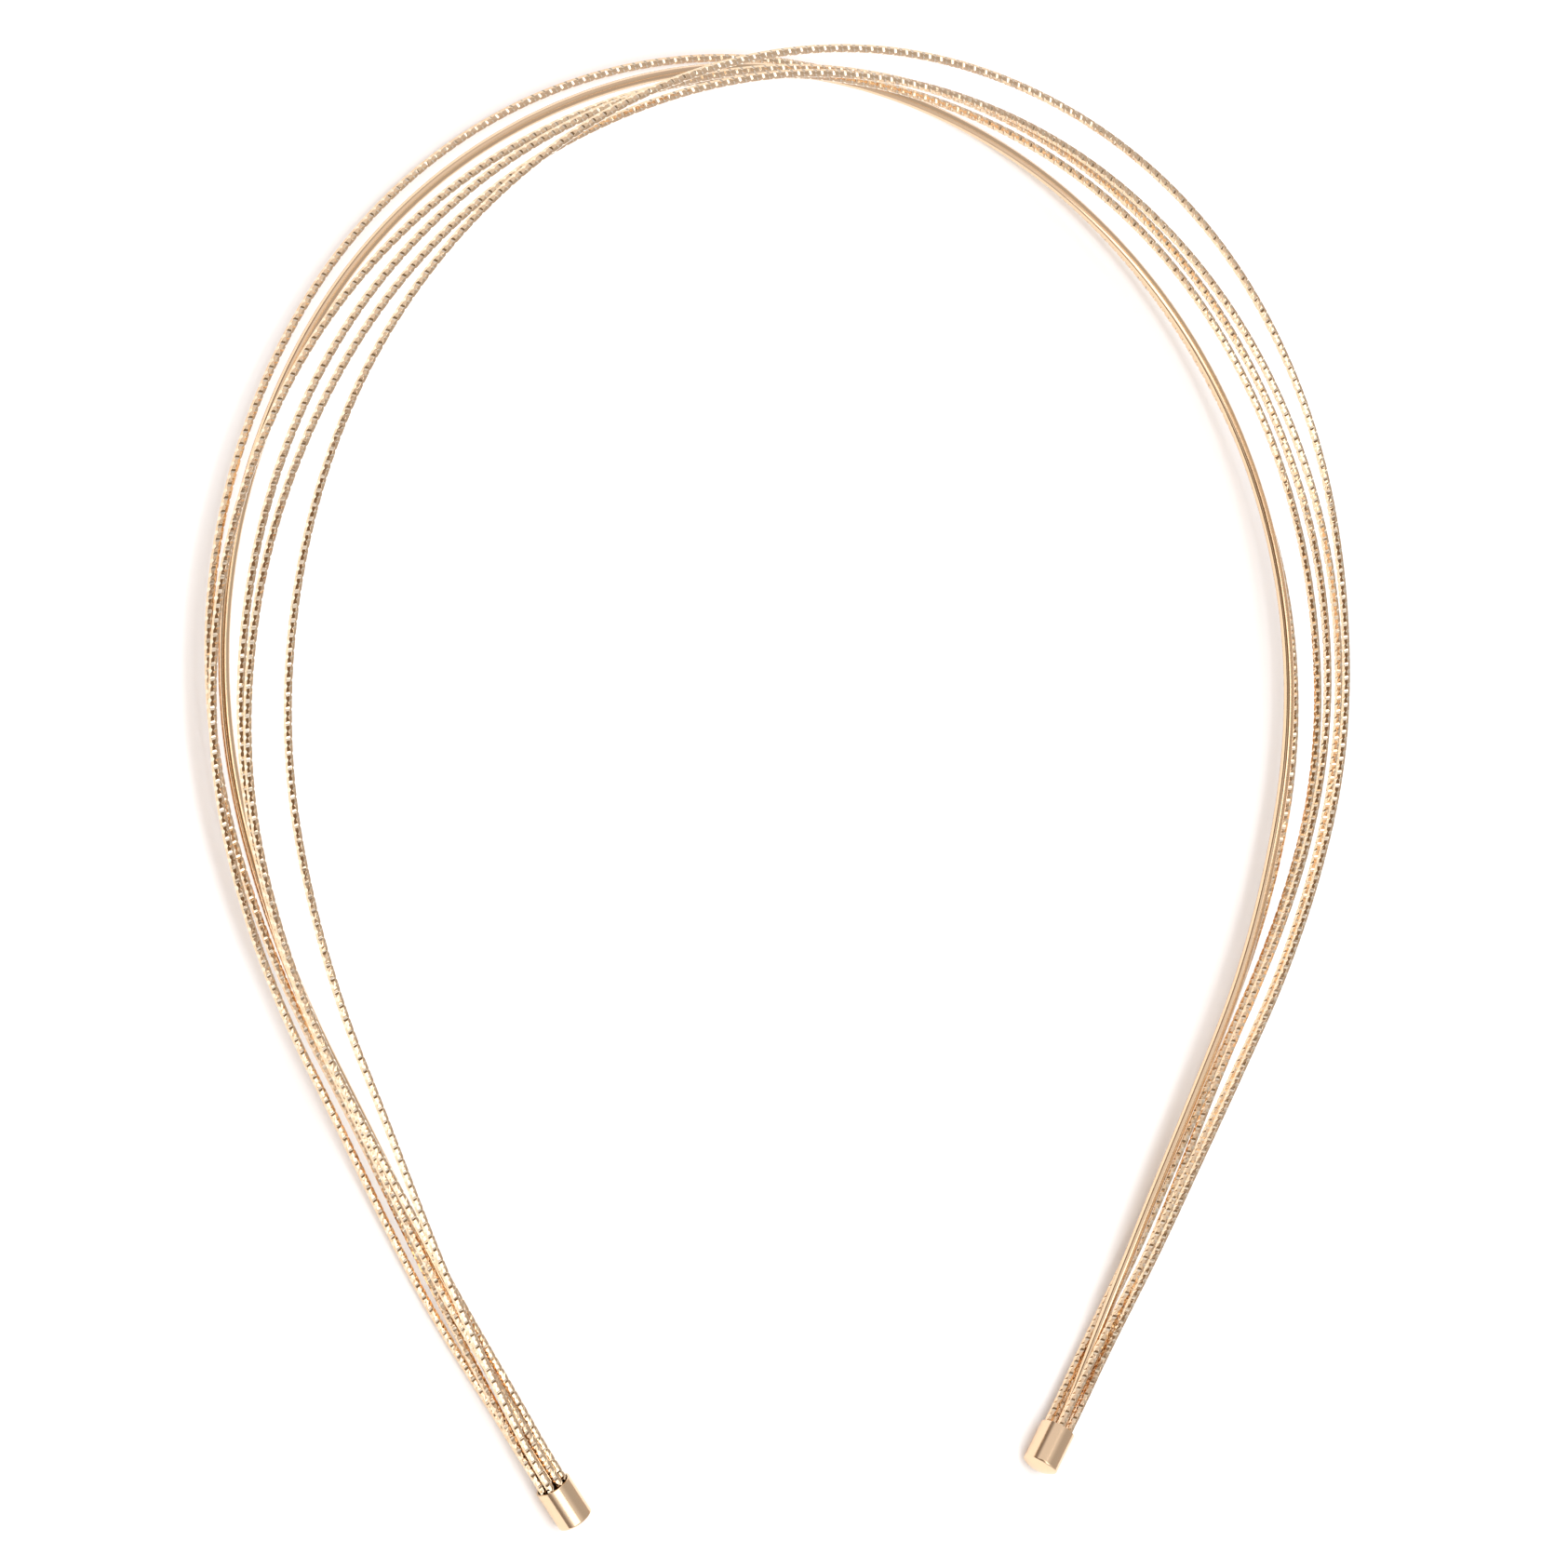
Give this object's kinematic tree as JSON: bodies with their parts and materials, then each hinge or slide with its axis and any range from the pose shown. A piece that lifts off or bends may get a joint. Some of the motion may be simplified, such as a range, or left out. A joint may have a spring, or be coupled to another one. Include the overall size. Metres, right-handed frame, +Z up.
{
  "type": "metal headband",
  "caption": "Slim gold-toned metal headband: a fan of fine notched wires and one plain rod, gathered at both ends into short domed end caps.",
  "frame": {"origin": "centre of the box that the headband fills, on the surface that it lies on", "axes": "+Z up from the surface, from the back wire to the front wire; +Y from the end caps to the crown; +X to the right ear when the caps point down and the front wire faces the viewer"},
  "size_m": [0.1436, 0.157, 0.0239],
  "materials": {
    "notched_gold": "bright pale gold plating, diamond-cut with short cross notches",
    "plain_gold": "bright pale gold plating, smooth drawn wire",
    "cap_gold": "bright pale gold plating, smooth with a very fine turned grain"
  },
  "bodies": {
    "root": {"back_wire": "notched_gold", "second_wire": "notched_gold", "middle_wire": "notched_gold", "fourth_wire": "notched_gold", "front_wire": "notched_gold", "base_rod": "plain_gold", "left_cap": "cap_gold", "right_cap": "cap_gold"}
  },
  "joints": []
}
